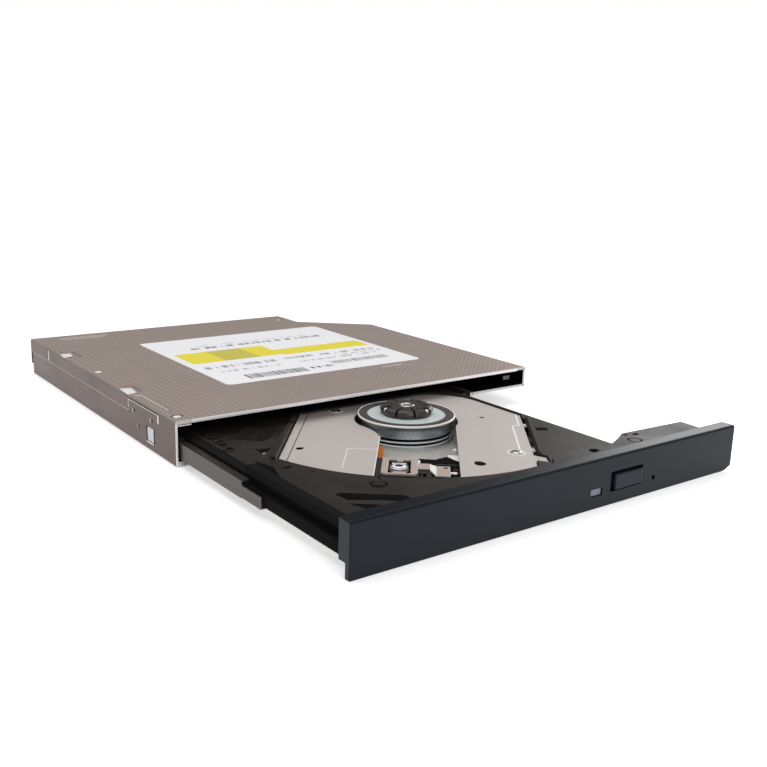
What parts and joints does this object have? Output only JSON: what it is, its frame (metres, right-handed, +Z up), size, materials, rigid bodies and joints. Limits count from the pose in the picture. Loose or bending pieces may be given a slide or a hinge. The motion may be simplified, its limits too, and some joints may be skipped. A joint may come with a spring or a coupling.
{
  "type": "internal dvd drive",
  "caption": "Slim tray-loading disc drive with its tray drawn out: folded steel housing, black tray on telescopic rails, spindle motor, sliding pickup and plain front bezel.",
  "frame": {"origin": "on the housing's underside, midway across its width and depth", "axes": "+X to the right seen from the front, +Y to the rear, +Z up"},
  "size_m": [0.128, 0.2077, 0.0127],
  "materials": {
    "zinc_steel": "satin zinc-coated sheet",
    "bright_steel": "bright",
    "cover_steel": "satin light grey",
    "die_cast": "matt cast",
    "motor_steel": "polished dark",
    "sintered": "matt",
    "label_white": "printed film, bare",
    "black_plastic": "fine satin",
    "bezel_plastic": "fine satin",
    "turntable_plastic": "satin",
    "rubber_black": "matt",
    "board_green": "solder resist",
    "component_black": "matt",
    "white_plastic": "satin",
    "clear_plastic": "frosted",
    "film_white": "film",
    "film_orange": "film",
    "brass_can": "bright",
    "lens_glass": "coated",
    "cover_plate": "satin"
  },
  "bodies": {
    "housing": {"bottom_case": "zinc_steel", "top_cover": "zinc_steel", "top_label": "label_white", "cover_screws": "bright_steel", "left_guide": "black_plastic", "right_guide": "black_plastic", "connector_board": "board_green", "sata_connector": "component_black", "lock_post": "bright_steel", "flat_flex_cable": "film_white"},
    "left_runner": {"left_rail": "zinc_steel"},
    "right_runner": {"right_rail": "zinc_steel"},
    "tray": {"tray_body": "black_plastic", "front_bezel": "bezel_plastic", "led_light_pipe": "clear_plastic", "switch_board": "board_green", "eject_switch": "component_black", "status_led": "clear_plastic", "main_board": "board_green", "board_chips": "component_black", "flex_connector": "component_black", "tray_bottom_cover": "cover_plate", "bottom_cover_screws": "bright_steel", "lock_solenoid": "component_black", "damper_rubbers": "rubber_black", "damper_screws": "bright_steel", "traverse_cover": "cover_steel", "traverse_screws": "bright_steel", "traverse_chassis": "die_cast", "left_guide_rod": "bright_steel", "right_guide_rod": "bright_steel", "rod_clamps": "bright_steel", "motor_base": "die_cast", "motor_bearing": "sintered", "motor_stator": "sintered", "motor_flex": "film_orange", "feed_motor": "motor_steel", "lead_screw_bracket": "white_plastic", "ejector_spring": "bright_steel"},
    "button": {"eject_button": "bezel_plastic"},
    "lock": {"lock_lever": "black_plastic"},
    "plunger": {"lock_plunger": "bright_steel"},
    "ejector": {"ejector_rod": "black_plastic"},
    "spindle": {"rotor_cup": "motor_steel", "spindle_shaft": "bright_steel", "turntable": "turntable_plastic", "turntable_rubber": "rubber_black", "disc_hub": "black_plastic", "hub_cap": "bright_steel", "disc_balls": "bright_steel"},
    "feed_screw": {"lead_screw": "bright_steel"},
    "sled": {"pickup_sled": "die_cast", "pickup_cover": "cover_steel", "spring_plate": "bright_steel", "lead_nut": "white_plastic", "laser_diode": "brass_can", "pickup_flex": "film_orange", "actuator_magnets": "sintered"},
    "lens": {"lens_holder": "black_plastic", "objective_lens": "lens_glass"}
  },
  "joints": [
    {"name": "tray_slide", "type": "slide", "parent": "housing", "child": "tray", "axis": [0, -1, 0], "range_m": [-0.077, 0.0488], "deforming": ["flat_flex_cable"]},
    {"name": "left_rail_slide", "type": "slide", "parent": "housing", "child": "left_runner", "axis": [0, -1, 0], "range_m": [-0.0463, 0.0293]},
    {"name": "right_rail_slide", "type": "slide", "parent": "housing", "child": "right_runner", "axis": [0, -1, 0], "range_m": [-0.0463, 0.0293]},
    {"name": "eject_press", "type": "slide", "parent": "tray", "child": "button", "axis": [0, 1, 0], "range_m": [0, 0.0008], "stiffness_N_per_m": 600, "springref_m": -0.0002},
    {"name": "lock_swing", "type": "hinge", "parent": "tray", "child": "lock", "pos_m": [0.0312, -0.1162, 0.0028], "axis": [0, 0, 1], "range_deg": [-0.03, 17.25]},
    {"name": "plunger_slide", "type": "slide", "parent": "tray", "child": "plunger", "axis": [1, 0, 0], "range_m": [0, 0.00369]},
    {"name": "ejector_slide", "type": "slide", "parent": "tray", "child": "ejector", "axis": [0, 1, 0], "range_m": [-0.00925, 0.00587], "deforming": ["ejector_spring"]},
    {"name": "spindle_spin", "type": "hinge", "parent": "tray", "child": "spindle", "pos_m": [0.002, -0.077, 0.008], "axis": [0, 0, 1], "continuous": true},
    {"name": "sled_feed", "type": "slide", "parent": "tray", "child": "sled", "axis": [-0.6293, -0.7771, 0], "range_m": [-0.0144, 0.0196], "deforming": ["pickup_flex"]},
    {"name": "feed_screw_turn", "type": "hinge", "parent": "tray", "child": "feed_screw", "pos_m": [0.01428, -0.08694, 0.0039], "axis": [-0.6293, -0.7771, 0], "range_deg": [-1729, 2353]},
    {"name": "lens_focus", "type": "slide", "parent": "sled", "child": "lens", "axis": [0, 0, 1], "range_m": [-0.0005, 0.0005], "stiffness_N_per_m": 60}
  ],
  "couplings": [
    {"joint": "left_rail_slide", "follows": "tray_slide", "ratio": 0.6},
    {"joint": "right_rail_slide", "follows": "tray_slide", "ratio": 0.6},
    {"joint": "ejector_slide", "follows": "tray_slide", "ratio": 0.12},
    {"joint": "lock_swing", "follows": "plunger_slide", "rad_per_m": 81.3},
    {"joint": "feed_screw_turn", "follows": "sled_feed", "rad_per_m": 2094.4}
  ]
}
